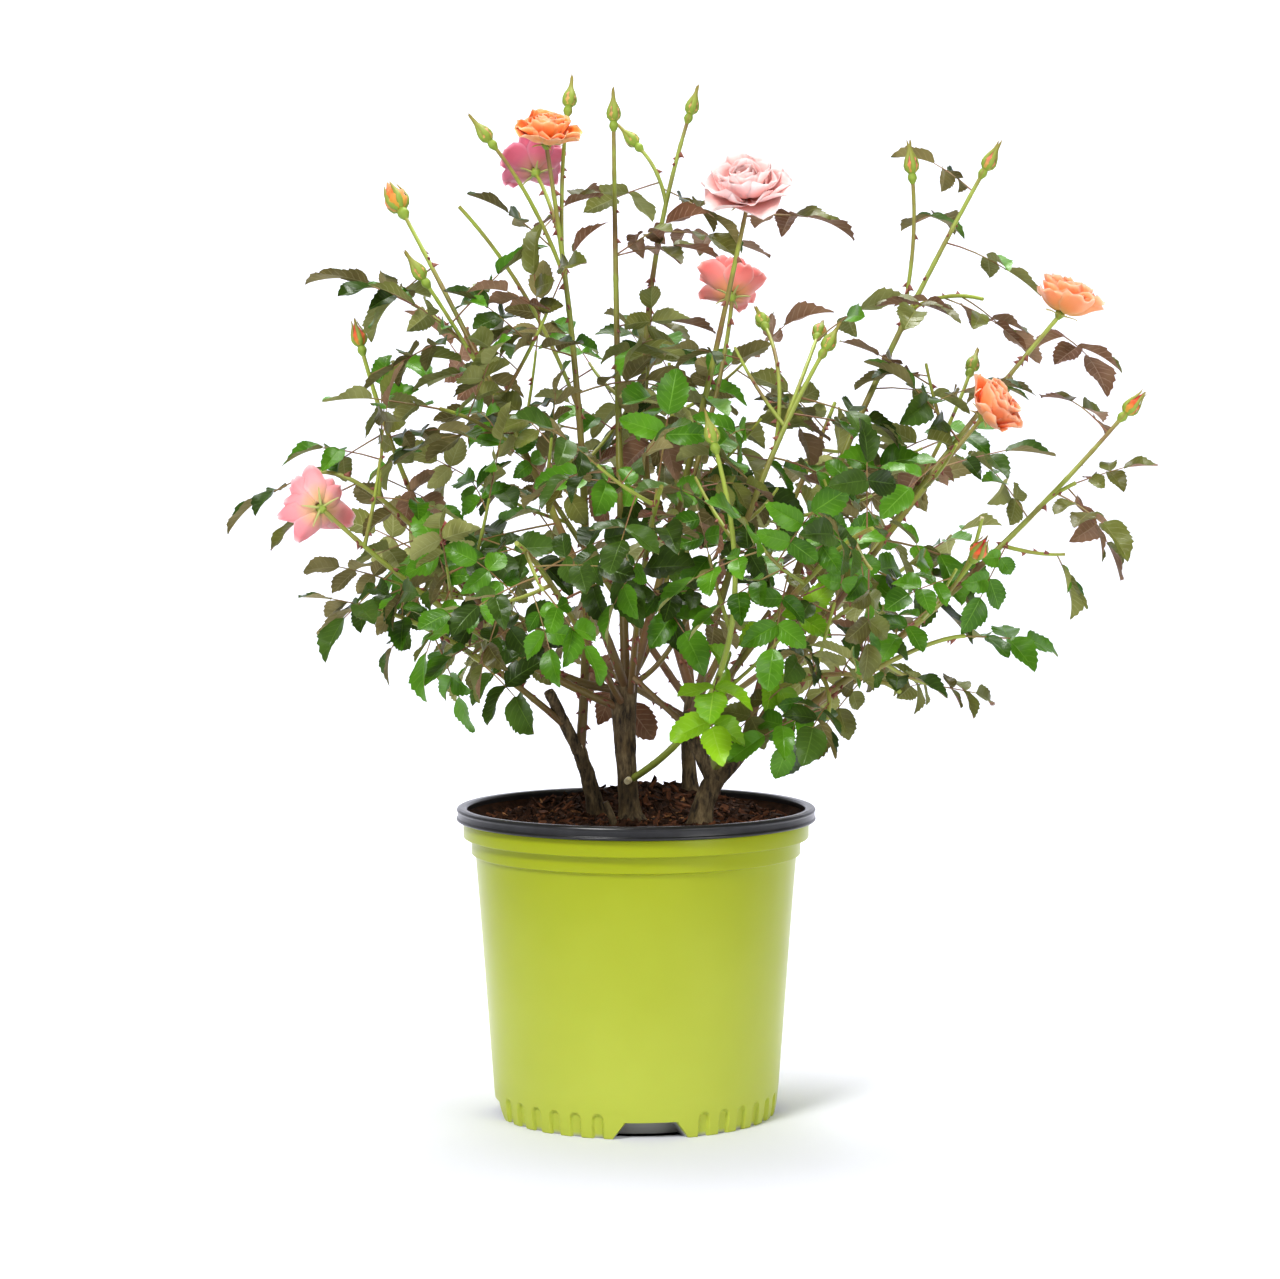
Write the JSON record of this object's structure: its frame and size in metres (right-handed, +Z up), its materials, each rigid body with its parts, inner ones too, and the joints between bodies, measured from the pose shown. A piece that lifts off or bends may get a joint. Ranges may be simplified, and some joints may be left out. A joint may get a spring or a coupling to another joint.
{
  "type": "potted shrub rose",
  "caption": "Shrub rose in a round green nursery pot: bare low trunks, arching canes, an open rounded crown of leaves, pointed buds and peach and pink double blooms.",
  "frame": {"origin": "middle of the pot's flat underside, on the ground", "axes": "+Z up; -Y towards the plant's front, where the pale green cane leans out; +X to the right as seen from the front"},
  "size_m": [0.7168, 0.6067, 0.8118],
  "materials": {
    "pot_plastic": "satin thermoformed polypropylene",
    "rim_plastic": "smooth black",
    "potting_mix": "coarse, loose",
    "old_bark": "rough, fissured",
    "green_cane": "waxy",
    "leaves": "glossy above, matt below",
    "peach_petals": "soft",
    "pink_petals": "soft",
    "buds": "matt"
  },
  "bodies": {
    "root": {"pot": "pot_plastic", "pot_rim": "rim_plastic", "soil": "potting_mix", "trunk_left": "old_bark", "trunk_centre": "old_bark", "trunk_right": "old_bark", "trunk_back": "old_bark", "arm_left": "old_bark", "arm_right_stub": "old_bark", "arm_right": "old_bark", "bough_left_low": "green_cane", "bough_left_high": "green_cane", "bough_tall_left": "green_cane", "bough_tall_orange": "green_cane", "bough_thorny": "green_cane", "bough_tall_back": "green_cane", "bough_pale": "green_cane", "bough_mid_right": "green_cane", "bough_tall_right": "green_cane", "bough_right_orange": "green_cane", "bough_right_low": "green_cane", "bough_right_lowest": "green_cane", "bough_right_hang": "green_cane", "bough_front_green": "green_cane", "bough_left_lowest": "green_cane", "bough_front_left": "green_cane", "bough_front_centre": "green_cane", "bough_front_right": "green_cane", "bough_back_left": "green_cane", "bough_back_centre": "green_cane", "bough_back_right": "green_cane", "bough_back_low_left": "green_cane", "bough_back_low_right": "green_cane", "mass_left_low": "leaves", "mass_left_reach": "leaves", "mass_left_high": "leaves", "mass_left_inner": "leaves", "mass_tall_left": "leaves", "mass_tall_orange": "leaves", "mass_thorny": "leaves", "mass_tall_back": "leaves", "mass_pale": "leaves", "mass_coral": "leaves", "mass_mid_right": "leaves", "mass_tall_right": "leaves", "mass_right_orange": "leaves", "mass_right_mid": "leaves", "mass_right_low": "leaves", "mass_right_lowest": "leaves", "mass_right_hang": "leaves", "mass_front_green": "leaves", "mass_left_lowest": "leaves", "mass_front_left": "leaves", "mass_front_centre": "leaves", "mass_front_right": "leaves", "mass_back_left": "leaves", "mass_back_centre": "leaves", "mass_back_right": "leaves", "mass_back_low_left": "leaves", "mass_back_low_right": "leaves"}
  },
  "joints": []
}
